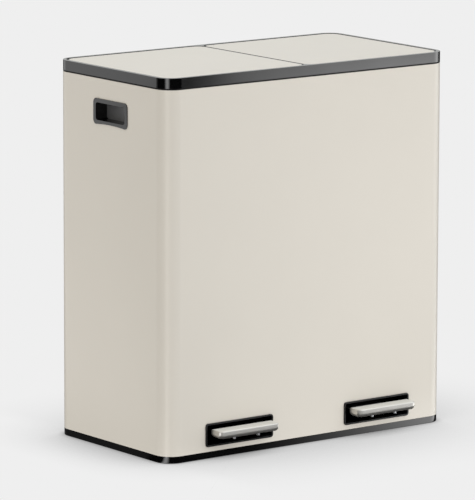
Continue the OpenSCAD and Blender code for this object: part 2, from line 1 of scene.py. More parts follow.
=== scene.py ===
# %% [markdown]
# # A pedal bin with two compartments
#
# The bin is a tube of thin steel sheet with rounded upright corners, painted cream. A black
# moulding closes it at the top and another at the bottom. Two flat lids lie in the top moulding,
# and two steel pedals stick out at the bottom. The fixed frame holds every part at its true size
# and place. This script gives the parts that show a finer surface and gives each its material.
#
# Everything is in metres. X runs to the right, Y to the back and Z up, and the origin is on the
# floor under the middle of the bin.

# %% Load the frame
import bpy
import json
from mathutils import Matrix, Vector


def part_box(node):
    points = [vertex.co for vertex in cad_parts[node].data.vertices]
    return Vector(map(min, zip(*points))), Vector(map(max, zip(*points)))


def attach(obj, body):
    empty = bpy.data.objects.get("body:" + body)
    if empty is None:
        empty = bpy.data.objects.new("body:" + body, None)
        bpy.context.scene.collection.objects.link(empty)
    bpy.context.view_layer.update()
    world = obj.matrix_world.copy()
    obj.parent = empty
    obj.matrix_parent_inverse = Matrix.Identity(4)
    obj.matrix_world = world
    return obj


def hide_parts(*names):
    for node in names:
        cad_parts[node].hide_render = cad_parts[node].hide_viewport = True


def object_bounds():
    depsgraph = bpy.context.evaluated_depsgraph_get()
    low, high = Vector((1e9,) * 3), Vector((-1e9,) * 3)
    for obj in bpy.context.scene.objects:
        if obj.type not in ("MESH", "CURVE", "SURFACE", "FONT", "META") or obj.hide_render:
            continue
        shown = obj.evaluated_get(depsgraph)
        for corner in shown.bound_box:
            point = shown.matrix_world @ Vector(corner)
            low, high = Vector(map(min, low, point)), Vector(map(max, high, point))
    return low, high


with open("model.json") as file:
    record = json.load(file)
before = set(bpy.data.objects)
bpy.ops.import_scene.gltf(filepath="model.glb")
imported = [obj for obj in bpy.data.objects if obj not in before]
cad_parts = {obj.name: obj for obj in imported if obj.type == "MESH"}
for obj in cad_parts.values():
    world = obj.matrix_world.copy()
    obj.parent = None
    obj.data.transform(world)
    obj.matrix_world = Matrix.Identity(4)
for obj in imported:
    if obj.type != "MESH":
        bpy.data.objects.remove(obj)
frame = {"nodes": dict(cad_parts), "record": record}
cad_box = [list(corner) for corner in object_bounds()]

# %% [markdown]
# ## Measures and helpers
#
# Sizes are easier to read in millimetres, so `mm` turns them to metres. A mesh made by an operator
# is shaped in edit mode, and an operator acts on what is selected. `pick_faces` and `pick_edges`
# select by a test on the place of each face or edge, so that no selection depends on a mouse.

# %% Measures, selection and shaping helpers
import json
import math
import bpy
from mathutils import Matrix, Vector

TINY = 1e-6
SIDES = {"left": -1, "right": 1}


def mm(value):
    """Millimetres as metres."""
    return value / 1000


def deselect():
    bpy.ops.object.select_all(action="DESELECT")


def make_active(piece):
    deselect()
    piece.select_set(True)
    bpy.context.view_layer.objects.active = piece


def clear_selection(mesh):
    for group in (mesh.vertices, mesh.edges, mesh.polygons):
        group.foreach_set("select", [False] * len(group))


def pick_faces(piece, test):
    """Enter edit mode with the faces selected whose centre and normal pass the test."""
    make_active(piece)
    clear_selection(piece.data)
    for face in piece.data.polygons:
        face.select = bool(test(face.center, face.normal))
    bpy.context.tool_settings.mesh_select_mode = (False, False, True)
    bpy.ops.object.mode_set(mode="EDIT")


def pick_edges(piece, test):
    """Enter edit mode with the edges selected whose two ends pass the test."""
    make_active(piece)
    clear_selection(piece.data)
    points = piece.data.vertices
    for edge in piece.data.edges:
        edge.select = bool(test(points[edge.vertices[0]].co, points[edge.vertices[1]].co))
    bpy.context.tool_settings.mesh_select_mode = (False, True, False)
    bpy.ops.object.mode_set(mode="EDIT")


def leave_edit():
    bpy.ops.object.mode_set(mode="OBJECT")


def block(name, low, high):
    """A box between two corners, with its place in its mesh."""
    low, high = Vector(low), Vector(high)
    deselect()
    bpy.ops.mesh.primitive_cube_add(size=1, location=(low + high) / 2, scale=high - low)
    piece = bpy.context.active_object
    piece.name = piece.data.name = name
    bpy.ops.object.transform_apply(location=True, rotation=True, scale=True)
    return piece


def round_edges(piece, test, radius, segments=12):
    """Bevel the picked edges to a true arc."""
    pick_edges(piece, test)
    bpy.ops.mesh.bevel(offset=radius, offset_type="OFFSET", segments=segments, affect="EDGES")
    leave_edit()


def along(axis, *limits):
    """A test for edges that run along an axis, each limit a function of the edge's middle."""
    def test(a, b):
        step = b - a
        straight = all(abs(step[i]) < TINY for i in range(3) if i != axis) and abs(step[axis]) > TINY
        middle = (a + b) / 2
        return straight and all(limit(middle) for limit in limits)
    return test


def at_height(z):
    """A test for edges that lie level at a height."""
    return lambda a, b: abs(a.z - z) < TINY and abs(b.z - z) < TINY


def apply(piece, kind, **settings):
    """Add a modifier, set it up and apply it."""
    make_active(piece)
    modifier = piece.modifiers.new(kind.lower(), kind)
    for name, value in settings.items():
        setattr(modifier, name, value)
    bpy.ops.object.modifier_apply(modifier=modifier.name)


def cut(piece, cutter, operation="DIFFERENCE"):
    """Join or cut two solids, and remove the second."""
    apply(piece, "BOOLEAN", operation=operation, object=cutter, solver="EXACT")
    bpy.data.objects.remove(cutter)


def soften(piece, radius, segments=3, limit=35):
    """Break the sharp edges, as paint and moulds do, and shade the flats flat."""
    apply(piece, "BEVEL", width=radius, segments=segments, limit_method="ANGLE",
          angle_limit=math.radians(limit), use_clamp_overlap=True)
    make_active(piece)
    bpy.ops.object.shade_smooth_by_angle(angle=math.radians(50))
    apply(piece, "WEIGHTED_NORMAL", keep_sharp=True)


def ready(piece, body, node, material):
    """Put a finished piece on its body in place of its plain node."""
    piece.data.materials.clear()
    piece.data.materials.append(material)
    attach(piece, body)
    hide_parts(node)
    size = [round(1000 * v, 1) for v in piece.dimensions]
    print(f"{piece.name}: {size} mm, {len(piece.data.polygons)} faces")


SLOT = {row["node"]: row["material_slot"] for row in frame["record"]["subparts"]}
print("nodes in the frame:", len(frame["nodes"]), "box:", cad_box)

# %% [markdown]
# ## Materials
#
# Each finish starts from what it is and how it was made. Colours are written as on a paint chart,
# in sRGB, and `paint` turns them to the linear values that the shader works in. `add` makes one
# node, sets its values and joins its inputs. Patterns read Object coordinates, so they keep their
# real size in millimetres on every piece.

# %% Colour and node helpers
def paint(chart):
    """An sRGB colour such as D8D4CB as linear red, green, blue and alpha."""
    parts = [int(chart[i:i + 2], 16) / 255 for i in (0, 2, 4)]
    return tuple(p / 12.92 if p <= 0.04045 else ((p + 0.055) / 1.055) ** 2.4 for p in parts) + (1.0,)


def add(tree, kind, links=None, **settings):
    """Add a node; settings are its properties or its input values, links join its inputs."""
    made = tree.nodes.new(kind)
    for name, value in settings.items():
        if hasattr(made, name):
            setattr(made, name, value)
        else:
            made.inputs[name.replace("_", " ")].default_value = value
    for name, output in (links or {}).items():
        tree.links.new(output, made.inputs[name])
    return made


def new_finish(name):
    """An empty material with its Principled shader and its Object coordinates."""
    material = bpy.data.materials.new(name)
    material.use_nodes = True
    tree = material.node_tree
    shader = tree.nodes["Principled BSDF"]
    place = tree.nodes.new("ShaderNodeTexCoord").outputs["Object"]
    return material, tree, shader, place


def per_metre(size_mm):
    """The Scale of a noise whose grains are that many millimetres wide."""
    return 1000 / size_mm


# %% [markdown]
# ### Powder coat
#
# The sheet is sprayed with charged powder and baked. The paint flows into a smooth satin skin with
# a faint ripple, called orange peel, about two millimetres from crest to crest, and a much finer
# grain on it. The ripple is a bump of a few micrometres; the grain also breaks up the gloss.

# %% Powder coat
def powder_coat(name, chart, ripple_mm=2.2, grain_mm=0.5):
    material, tree, shader, place = new_finish(name)
    cloud = add(tree, "ShaderNodeTexNoise", {"Vector": place}, Scale=per_metre(90), Detail=2.0)
    tone = add(tree, "ShaderNodeMapRange", {"Value": cloud.outputs["Fac"]}, To_Min=0.985, To_Max=1.015)
    base = add(tree, "ShaderNodeVectorMath", {"Scale": tone.outputs["Result"]}, operation="SCALE")
    base.inputs[0].default_value = paint(chart)[:3]
    ripple = add(tree, "ShaderNodeTexNoise", {"Vector": place}, Scale=per_metre(ripple_mm), Detail=1.0)
    grain = add(tree, "ShaderNodeTexNoise", {"Vector": place}, Scale=per_metre(grain_mm), Detail=2.0)
    gloss = add(tree, "ShaderNodeMapRange", {"Value": grain.outputs["Fac"]}, To_Min=0.28, To_Max=0.36)
    wave = add(tree, "ShaderNodeBump", {"Height": ripple.outputs["Fac"]}, Strength=0.12, Distance=mm(0.04))
    fine = add(tree, "ShaderNodeBump", {"Height": grain.outputs["Fac"], "Normal": wave.outputs["Normal"]},
               Strength=0.10, Distance=mm(0.02))
    tree.links.new(base.outputs["Vector"], shader.inputs["Base Color"])
    tree.links.new(gloss.outputs["Result"], shader.inputs["Roughness"])
    tree.links.new(fine.outputs["Normal"], shader.inputs["Normal"])
    shader.inputs["IOR"].default_value = 1.5
    shader.inputs["Specular IOR Level"].default_value = 0.3
    return material


cream_coat = powder_coat("cream_powder_coat", "DCD6CC")

# %% [markdown]
# ### Moulded plastics
#
# The bands, lid frames, bezels and handles are injection-moulded ABS from a spark-eroded mould,
# which leaves an even fine grain and a soft sheen. The buckets are polypropylene, more matt and a
# little greyer. Sliding pieces are glass-filled nylon. One function makes them all, because only
# colour, gloss and grain change. The lowest strip of the top moulding is textured and matt, so it
# reads as a shadow line above the steel sheet.

# %% Moulded plastics
TEXTURED_ROUGH = 0.6
TEXTURED_SPECULAR = 0.15


def moulded(name, chart, rough, grain_mm, depth=0.25, textured_below=None):
    """A plastic whose skin is matt below the height textured_below, where its mould is textured."""
    material, tree, shader, place = new_finish(name)
    grain = add(tree, "ShaderNodeTexNoise", {"Vector": place}, Scale=per_metre(grain_mm), Detail=2.0)
    flow = add(tree, "ShaderNodeTexNoise", {"Vector": place}, Scale=per_metre(60), Detail=3.0)
    gloss = add(tree, "ShaderNodeMapRange", {"Value": flow.outputs["Fac"]},
                To_Min=rough - 0.03, To_Max=rough + 0.03)
    tone = add(tree, "ShaderNodeMapRange", {"Value": flow.outputs["Fac"]}, To_Min=0.94, To_Max=1.06)
    base = add(tree, "ShaderNodeVectorMath", {"Scale": tone.outputs["Result"]}, operation="SCALE")
    base.inputs[0].default_value = paint(chart)[:3]
    skin = add(tree, "ShaderNodeBump", {"Height": grain.outputs["Fac"]}, Strength=depth, Distance=mm(0.03))
    shine = gloss.outputs["Result"]
    if textured_below is not None:
        spot = add(tree, "ShaderNodeSeparateXYZ", {"Vector": place})
        lip = {"From_Min": textured_below - mm(0.1), "From_Max": textured_below + mm(0.1)}
        shine = add(tree, "ShaderNodeMapRange", {"Value": spot.outputs["Z"], "To Max": shine},
                    To_Min=TEXTURED_ROUGH, **lip).outputs["Result"]
        glint = add(tree, "ShaderNodeMapRange", {"Value": spot.outputs["Z"]},
                    To_Min=TEXTURED_SPECULAR, To_Max=0.5, **lip)
        tree.links.new(glint.outputs["Result"], shader.inputs["Specular IOR Level"])
    tree.links.new(base.outputs["Vector"], shader.inputs["Base Color"])
    tree.links.new(shine, shader.inputs["Roughness"])
    tree.links.new(skin.outputs["Normal"], shader.inputs["Normal"])
    return material


TOP_LIP = mm(1.7)
black_abs = moulded("black_moulded_abs", "0D0D0E", rough=0.10, grain_mm=0.6, depth=0.04)
top_abs = moulded("black_top_moulding_abs", "0D0D0E", rough=0.10, grain_mm=0.6, depth=0.04,
                  textured_below=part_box("body_shell")[1].z + TOP_LIP)
matt_abs = moulded("black_textured_abs", "0B0B0C", rough=0.42, grain_mm=0.5, depth=0.2)
# This grey is painted light: a lighter copy of the black plastic for the lit back wall of each handle's
# opening.
lit_back_wall_grey_abs = moulded("black_abs_painted_lit_grey", "666668", rough=0.45, grain_mm=0.7, depth=0.2)
bucket_pp = moulded("black_polypropylene", "242426", rough=0.52, grain_mm=0.9)
nylon = moulded("black_glass_filled_nylon", "1A1A1B", rough=0.46, grain_mm=0.4)
rubber = moulded("moulded_rubber", "181818", rough=0.8, grain_mm=0.5, depth=0.4)

# %% [markdown]
# ### Metals
#
# The pedal pads are stainless steel, brushed along their length. A belt leaves scratches a few
# hundredths of a millimetre wide and many millimetres long. A noise stretched along X makes them;
# they are drawn 0.25 mm wide, coarser than real, so that they show. They also spread a highlight
# across them and not along them, which the anisotropy does: its direction is up and a little
# forward, which lies across the belt's path on the top, on the front and round the corners. The top
# of a pad, which shoes rub, is duller; it is also lighter and less metallic, which is painted light
# for the light that falls on its upward faces. Levers and rods are steel with bright zinc, which is
# cloudy with faint crystals.

# %% Brushed stainless steel and bright zinc
def brushed(name, chart, rough, spread, metallic, scratch_mm=0.25, length_mm=40):
    material, tree, shader, place = new_finish(name)
    stretch = add(tree, "ShaderNodeMapping", {"Vector": place})
    stretch.inputs["Scale"].default_value = (scratch_mm / length_mm, 1.0, 1.0)
    scratch = add(tree, "ShaderNodeTexNoise", {"Vector": stretch.outputs["Vector"]},
                  Scale=per_metre(scratch_mm), Detail=3.0)
    gloss = add(tree, "ShaderNodeMapRange", {"Value": scratch.outputs["Fac"]},
                To_Min=rough - 0.06, To_Max=rough + 0.06)
    lines = add(tree, "ShaderNodeBump", {"Height": scratch.outputs["Fac"]}, Strength=0.25, Distance=mm(0.02))
    across = tree.nodes.new("ShaderNodeCombineXYZ")
    across.inputs["Y"].default_value = -0.3
    across.inputs["Z"].default_value = 1.0
    tree.links.new(across.outputs["Vector"], shader.inputs["Tangent"])
    shader.inputs["Anisotropic"].default_value = spread
    shader.inputs["Base Color"].default_value = paint(chart)
    shader.inputs["Metallic"].default_value = metallic
    tree.links.new(gloss.outputs["Result"], shader.inputs["Roughness"])
    tree.links.new(lines.outputs["Normal"], shader.inputs["Normal"])
    return material


def zinc_plated(name, chart):
    material, tree, shader, place = new_finish(name)
    cloud = add(tree, "ShaderNodeTexVoronoi", {"Vector": place}, Scale=per_metre(3))
    gloss = add(tree, "ShaderNodeMapRange", {"Value": cloud.outputs["Distance"]}, To_Min=0.3, To_Max=0.42)
    shader.inputs["Base Color"].default_value = paint(chart)
    shader.inputs["Metallic"].default_value = 1.0
    tree.links.new(gloss.outputs["Result"], shader.inputs["Roughness"])
    return material


stainless = brushed("brushed_stainless_steel", "D2D0CB", rough=0.30, spread=0.6, metallic=0.85)
# The top finish is partly wear (rougher) and partly painted light: a lighter, less metallic copy of the steel
# for the lit upward faces.
worn_and_lit_top = brushed("worn_stainless_top_painted_lighter", "E4E2DC", rough=0.50, spread=0.8, metallic=0.5)
zinc = zinc_plated("bright_zinc", "BFC1C4")

# %% [markdown]
# ## The frame's own parts
#
# Mouldings such as the top frame and the base have ledges, ears and bosses that are right already.
# They keep their mesh. A frame mesh is loose triangles, so a live Weld joins them, a planar
# Decimate takes the triangles out of the flats, a Bevel breaks the edges and Weighted Normal
# keeps the flats flat. The mesh below the modifiers is not changed.

# %% Finish the parts that keep their mesh
EDGE_MM = {"top_frame": 0.9, "base_tray": 0.6, "inner_floor": 0.4}
PLAIN_EDGE_MM = 0.25
WELD_GAP = mm(0.005)
FLAT_WITHIN = math.radians(0.5)
SHARP_FROM = math.radians(40)
FINISH = {
    "cream_paint": cream_coat, "black_plastic": black_abs, "bucket_plastic": bucket_pp,
    "stainless": stainless, "zinc_steel": zinc, "rubber": rubber,
}
NYLON_NODES = ("lever_tip", "rod_foot", "damper_piston", "rod_guides")


def keep_mesh(node):
    piece = frame["nodes"][node]
    for face in piece.data.polygons:
        face.use_smooth = True
    weld = piece.modifiers.new("weld", "WELD")
    weld.merge_threshold = WELD_GAP
    flats = piece.modifiers.new("flats", "DECIMATE")
    flats.decimate_type = "DISSOLVE"
    flats.angle_limit = FLAT_WITHIN
    edges = piece.modifiers.new("edges", "BEVEL")
    edges.width = mm(EDGE_MM.get(node, PLAIN_EDGE_MM))
    edges.segments = 3 if node in EDGE_MM else 2
    edges.limit_method = "ANGLE"
    edges.angle_limit = SHARP_FROM
    normals = piece.modifiers.new("normals", "WEIGHTED_NORMAL")
    normals.keep_sharp = True
    material = nylon if node.startswith(NYLON_NODES) else FINISH[SLOT[node]]
    piece.data.materials.clear()
    piece.data.materials.append(material)


for node in frame["nodes"]:
    keep_mesh(node)

top_frame = frame["nodes"]["top_frame"]
top_frame.data.materials[0] = top_abs
top_frame.data.materials.append(matt_abs)
skirt_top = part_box("body_shell")[1].z - mm(0.1)
for face in top_frame.data.polygons:
    if face.center.z < skirt_top:
        face.material_index = 1

# %% [markdown]
# ## Body shell
#
# The real shell is one strip of steel, folded round four corners and joined at the back. A box with
# its four upright edges bevelled to 30 mm is that shape; its ends are opened, and Solidify gives
# the sheet its thickness inwards. It stops just short of the top moulding, which leaves the fine
# shadow line between the two. The openings for handles and pedals are cut with boxes, and the
# seam at the back is a shallow groove.

# %% Body shell
CORNER_R = mm(30)
SHEET_T = mm(1)
SEAM_W = mm(1.2)
SEAM_DEPTH = mm(0.4)
CUT_PAST = mm(3)
TOP_GROOVE = mm(0.9)
HANDLE_LAP = mm(4)
BEZEL_LAP = mm(1.2)


def cutter_for(node, inset, axis, reach):
    """A box through the wall round a node's collar, moved in from the node's box by inset."""
    low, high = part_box(node)
    for i in range(3):
        if i != axis:
            low[i] += inset
            high[i] -= inset
    low[axis] -= reach
    high[axis] += reach
    return block("cutter", low, high)


def body_shell():
    low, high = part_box("body_shell")
    high.z -= TOP_GROOVE
    shell = block("body_shell_sheet", low, high)
    round_edges(shell, along(2), CORNER_R, segments=20)
    pick_faces(shell, lambda centre, normal: abs(normal.z) > 0.9)
    bpy.ops.mesh.delete(type="FACE")
    leave_edit()
    apply(shell, "SOLIDIFY", thickness=SHEET_T, offset=-1, use_even_offset=True)
    for side in SIDES:
        cut(shell, cutter_for(f"handle_{side}", HANDLE_LAP, 0, CUT_PAST))
        cut(shell, cutter_for(f"pedal_bezel_{side}", BEZEL_LAP, 1, CUT_PAST))
    groove = block("cutter", (-SEAM_W / 2, high.y - SEAM_DEPTH, low.z - CUT_PAST),
                   (SEAM_W / 2, high.y + CUT_PAST, high.z + CUT_PAST))
    cut(shell, groove)
    soften(shell, mm(0.25), segments=2)
    ready(shell, "cabinet", "body_shell", cream_coat)


body_shell()

# %% [markdown]
# ## Lid panels
#
# Each lid is a flat steel panel let into a black frame. Its corners are tighter at the middle of
# the bin than at the outside. A thin box gets those four radii, and a small bevel along the top
# rounds the pressed edge, where the light catches it.

# %% Lid panels
LID_EDGE = mm(1.3)
LID_MIDDLE_R = mm(16) - LID_EDGE
LID_OUTER_R = mm(21.4) - LID_EDGE


def lid_panel(side, sign):
    node = f"lid_panel_{side}"
    low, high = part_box(node)
    middle = (low.x + high.x) / 2
    panel = block(f"{node}_sheet", low, high)
    outer = along(2, lambda p: (p.x - middle) * sign > 0)
    round_edges(panel, outer, LID_OUTER_R, segments=16)
    inner = along(2, lambda p: (p.x - middle) * sign < 0)
    round_edges(panel, inner, LID_MIDDLE_R, segments=16)
    soften(panel, mm(0.35))
    ready(panel, f"lid_{side}", node, cream_coat)


for side, sign in SIDES.items():
    lid_panel(side, sign)

# %% [markdown]
# ## Pedal pads
#
# A pad is a strip of stainless steel folded down over a plastic core. Seen from above its two front
# corners are round. The top edge is folded to a soft radius and the lower edge is hemmed inwards.
# The box is opened below, and Solidify gives the sheet its thickness. The plastic core has the same
# outline less the sheet, and a slot from behind takes the lever's tongue.

# %% Pedal pads
PAD_CORNER_R = mm(9)
PAD_FOLD_R = mm(2)
PAD_HEM_R = mm(7)
PAD_SHEET = mm(1.2)
PAD_CORE_GAP = mm(0.1)
WORN_AND_LIT_TOP_FACING = 0.7
TONGUE_SLOT = {"width": mm(80.6), "height": mm(6.5), "front": mm(3.9)}
PAD_BOLT = {"place": mm(25), "radius": mm(1.6), "height": mm(10.8)}


def fold_pad(piece, inset):
    """Round a pad's front corners, top fold and hem, all tighter by inset."""
    low, high = (Vector(corner) for corner in (piece.bound_box[0], piece.bound_box[6]))
    middle_y = (low.y + high.y) / 2
    round_edges(piece, along(2, lambda p: p.y < middle_y), PAD_CORNER_R - inset, segments=14)
    round_edges(piece, at_height(high.z), PAD_FOLD_R - inset, segments=8)
    round_edges(piece, at_height(low.z), PAD_HEM_R - inset, segments=8)


def pedal_pad(side):
    node = f"pedal_pad_{side}"
    low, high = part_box(node)
    pad = block(f"{node}_cap", low, high)
    fold_pad(pad, 0)
    pick_faces(pad, lambda centre, normal: normal.z < -0.9)
    bpy.ops.mesh.delete(type="FACE")
    leave_edit()
    apply(pad, "SOLIDIFY", thickness=PAD_SHEET, offset=-1, use_even_offset=True)
    soften(pad, mm(0.2), segments=2)
    ready(pad, f"pedal_{side}", node, stainless)
    # The upward faces take the top finish: rubbed duller, and painted lighter as painted light on the pad's
    # top.
    pad.data.materials.append(worn_and_lit_top)
    for face in pad.data.polygons:
        if face.normal.z > WORN_AND_LIT_TOP_FACING:
            face.material_index = 1


def pedal_core(side):
    node = f"pedal_core_{side}"
    pad_low, pad_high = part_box(f"pedal_pad_{side}")
    core = block(f"{node}_moulding", *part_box(node))
    fold_pad(core, PAD_SHEET + PAD_CORE_GAP)
    middle = (pad_low + pad_high) / 2
    half_slot = TONGUE_SLOT["width"] / 2
    cut(core, block("slot", (middle.x - half_slot, pad_low.y + TONGUE_SLOT["front"], pad_low.z - CUT_PAST),
                    (middle.x + half_slot, pad_high.y + CUT_PAST, pad_low.z + TONGUE_SLOT["height"])))
    for hand in SIDES.values():
        deselect()
        bpy.ops.mesh.primitive_cylinder_add(
            vertices=32, radius=PAD_BOLT["radius"], depth=PAD_BOLT["height"],
            location=(middle.x + hand * PAD_BOLT["place"], middle.y, pad_low.z + PAD_BOLT["height"] / 2))
        bolt_hole = bpy.context.active_object
        bpy.ops.object.transform_apply(location=True, rotation=True, scale=True)
        cut(core, bolt_hole)
    soften(core, mm(0.2), segments=2)
    ready(core, f"pedal_{side}", node, black_abs)


for side in SIDES:
    pedal_pad(side)
    pedal_core(side)

# %% [markdown]
# ## Bezels and side handles
#
# Both are a flange with a collar or a cup behind it. The flange and the cup are boxes with rounded
# corners, joined into one solid, and the opening is a third box cut out of them. The bevel that
# follows rounds the rim in the same way all round, as a mould does.

# %% Bezels
def rounded_box(name, low, high, axis, radius, segments=8):
    """A box whose four edges along an axis are rounded."""
    piece = block(name, low, high)
    round_edges(piece, along(axis), radius, segments)
    return piece


def shrunk(low, high, axis, inset):
    """The corners of a box moved in by inset across an axis."""
    low, high = Vector(low), Vector(high)
    for i in range(3):
        if i != axis:
            low[i] += inset
            high[i] -= inset
    return low, high


BEZEL_RIM = mm(3)
BEZEL_COLLAR = mm(1.5)
BEZEL_PROUD = mm(2.5)
BEZEL_R = mm(5)
BEZEL_COLLAR_R = mm(2.5)
BEZEL_HOLE_R = mm(2)
MOULDED_EDGE = mm(0.7)


def pedal_bezel(side):
    node = f"pedal_bezel_{side}"
    low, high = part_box(node)
    flange = rounded_box(f"{node}_moulding", low, (high.x, low.y + BEZEL_PROUD, high.z), 1, BEZEL_R)
    collar_low, collar_high = shrunk(low, high, 1, BEZEL_RIM - BEZEL_COLLAR)
    collar_low.y = low.y + BEZEL_PROUD / 2
    cut(flange, rounded_box("collar", collar_low, collar_high, 1, BEZEL_COLLAR_R), "UNION")
    hole_low, hole_high = shrunk(low, high, 1, BEZEL_RIM)
    hole_low.y -= CUT_PAST
    hole_high.y += CUT_PAST
    cut(flange, rounded_box("hole", hole_low, hole_high, 1, BEZEL_HOLE_R))
    soften(flange, MOULDED_EDGE)
    ready(flange, "cabinet", node, matt_abs)


for side in SIDES:
    pedal_bezel(side)

# %% Side handles
HANDLE_FLANGE_H = mm(44)
HANDLE_RIM = mm(7)
HANDLE_PROUD = mm(1.5)
HANDLE_R = mm(8)
HANDLE_WALL = mm(3)
HANDLE_ARCH = mm(2)
HANDLE_HOOK = mm(8)
CUP_WALL = mm(2)
CUP_R = mm(6)
POCKET_R = mm(4)
OPENING_R = mm(5)
HOOK_R = mm(2)
HOOK_BEHIND = mm(5)


def side_handle(side, sign):
    node = f"handle_{side}"
    low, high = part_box(node)
    face = sign * cad_shell_high.x
    out = face + sign * HANDLE_PROUD
    deep = low.x if sign > 0 else high.x
    back = deep + sign * HANDLE_WALL
    half_w = (high.y - low.y) / 2
    open_y = half_w - HANDLE_RIM
    open_z = HANDLE_FLANGE_H / 2 - HANDLE_RIM
    middle_z = high.z - HANDLE_HOOK - CUP_WALL - open_z
    flange_low_z = middle_z - HANDLE_FLANGE_H / 2
    flange_high_z = middle_z + HANDLE_FLANGE_H / 2

    def across(name, x0, x1, y, z0, z1, radius):
        """A rounded box from x0 to x1, as wide as y to either side."""
        return rounded_box(name, (min(x0, x1), -y, z0), (max(x0, x1), y, z1), 0, radius)

    handle = across(f"{node}_moulding", face, out, half_w, flange_low_z, flange_high_z, HANDLE_R)
    arch_r = (open_y ** 2 + HANDLE_ARCH ** 2) / (2 * HANDLE_ARCH)
    deselect()
    bpy.ops.mesh.primitive_cylinder_add(vertices=720, radius=arch_r, depth=mm(20),
                                        rotation=(0, math.pi / 2, 0),
                                        location=(face, 0, flange_low_z + HANDLE_ARCH - arch_r))
    arch = bpy.context.active_object
    bpy.ops.object.transform_apply(location=True, rotation=True, scale=True)
    cut(handle, arch)
    cup_y, cup_z = open_y + CUP_WALL, open_z + CUP_WALL
    cut(handle, across("cup", deep, out - sign * HANDLE_PROUD / 2, cup_y, middle_z - cup_z, middle_z + cup_z,
                       CUP_R), "UNION")
    cut(handle, across("pocket", deep, face - sign * CUP_WALL, cup_y, middle_z, high.z, POCKET_R), "UNION")
    cut(handle, across("opening", back, out + sign * CUT_PAST, open_y, middle_z - open_z, middle_z + open_z,
                       OPENING_R))
    cut(handle, across("hook", back, face - sign * HOOK_BEHIND, open_y, middle_z,
                       middle_z + open_z + HANDLE_HOOK, HOOK_R))
    soften(handle, MOULDED_EDGE)
    ready(handle, "cabinet", node, black_abs)
    handle.data.materials.append(lit_back_wall_grey_abs)
    # The back wall of the opening takes the grey: painted light for the light that falls on it through the
    # opening.
    for panel in handle.data.polygons:
        if abs(panel.center.x - back) < mm(0.2) and panel.normal.x * sign > 0.9:
            panel.material_index = 1


cad_shell_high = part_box("body_shell")[1]
for side, sign in SIDES.items():
    side_handle(side, sign)

# %% [markdown]
# ## Buckets
#
# A lift-out bucket is moulded in polypropylene: slightly narrower at the bottom so that it leaves
# its mould, open at the top, with a rim turned outwards and down that is also its grip. A box is
# tapered by shrinking its bottom face, opened, given a wall, and its rim is two extrusions.

# %% Buckets
BUCKET_RIM = mm(7)
BUCKET_LIP = mm(12)
BUCKET_DRAFT = mm(8)
BUCKET_WALL = mm(2)
BUCKET_R = mm(25)
BUCKET_FOOT_R = mm(6)


def bucket(side):
    node = f"bucket_{side}"
    low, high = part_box(node)
    wall_low, wall_high = shrunk(low, high, 2, BUCKET_RIM)
    tub = block(f"{node}_moulding", wall_low, wall_high)
    width, depth = wall_high.x - wall_low.x, wall_high.y - wall_low.y
    pick_faces(tub, lambda centre, normal: normal.z < -0.9)
    bpy.ops.transform.resize(value=(1 - 2 * BUCKET_DRAFT / width, 1 - 2 * BUCKET_DRAFT / depth, 1),
                             center_override=((low.x + high.x) / 2, (low.y + high.y) / 2, low.z))
    leave_edit()
    round_edges(tub, lambda a, b: abs(a.z - b.z) > (high.z - low.z) / 2, BUCKET_R, segments=10)
    round_edges(tub, at_height(low.z), BUCKET_FOOT_R, segments=4)
    pick_faces(tub, lambda centre, normal: normal.z > 0.9)
    bpy.ops.mesh.delete(type="FACE")
    leave_edit()
    grow_x = 1 + 2 * BUCKET_RIM / width
    grow_y = 1 + 2 * BUCKET_RIM / depth
    middle = ((low.x + high.x) / 2, (low.y + high.y) / 2, high.z)
    pick_edges(tub, at_height(high.z))
    bpy.ops.mesh.extrude_edges_move()
    bpy.ops.transform.resize(value=(grow_x, grow_y, 1), center_override=middle)
    bpy.ops.mesh.extrude_edges_move(TRANSFORM_OT_translate={"value": (0, 0, -BUCKET_LIP)})
    leave_edit()
    apply(tub, "SOLIDIFY", thickness=BUCKET_WALL, offset=-1, use_even_offset=True)
    soften(tub, mm(0.5), segments=2)
    ready(tub, "cabinet", node, bucket_pp)


for side in SIDES:
    bucket(side)

# %% [markdown]
# ## Floor, light and camera
#
# The bin stands on a plain pale floor that runs far behind it. An even sky, brighter on the right
# and above, and one wide soft light from the front right give the slow change of tone across each
# side.
#
# In a studio, white cards and black flags stand about an object to draw the reflections in its
# glossy parts. Upright faces seen from a little above reflect what lies low in front of them, so
# the cards are laid on the floor here, and only a glossy ray sees them. The camera sees a clean
# floor that darkens close to the bin, and scattered light comes from it evenly. The card nearest to
# the bin has a louvre: only rays that graze it see it lit, so it shows in the bottom moulding and
# not in the hems of the pedals.

# %% Floor
CAMERA_AZIMUTH = -37.137
FLOOR_CHART = "EFEFEF"
SHADOW_REACH = {"front": mm(290), "left": mm(150)}
SHADOW_DEPTH = {"front": 0.80, "left": 1.15}
SHADOW_CURVE = 1.4
LEFT_SHADE = (mm(-40), mm(10))
CONTACT_REACH = mm(14)
CONTACT_DEPTH = 0.5
FLOOR_BOUNCE = 1.22
FRONT_CARD = {"edge": -0.30, "end": 0.24, "dim": 2.0, "bright": 4.9, "fade": (-0.015, 0.065),
              "back": (5.0, 6.5)}
FRONT_FLAG = {"edge": -0.22, "end": 0.12, "dim": 0.03, "bright": 4.0, "louvre": (0.22, 0.30)}
FOOT_CARD = {"bright": 0.8, "near": (mm(130), mm(230)), "far": (mm(500), mm(1300))}
LEFT_CARD = {"near": (mm(60), mm(300)), "dim": 0.1, "bright": 1.45, "turn": (-138, -126),
             "edge": (-0.34, -0.29), "past_edge": 0.3}
STRIP_CARD = {"azimuth": -59, "half_width": 17, "fade": 13, "bright": 4.4}
FLOOR_SIZE = 120

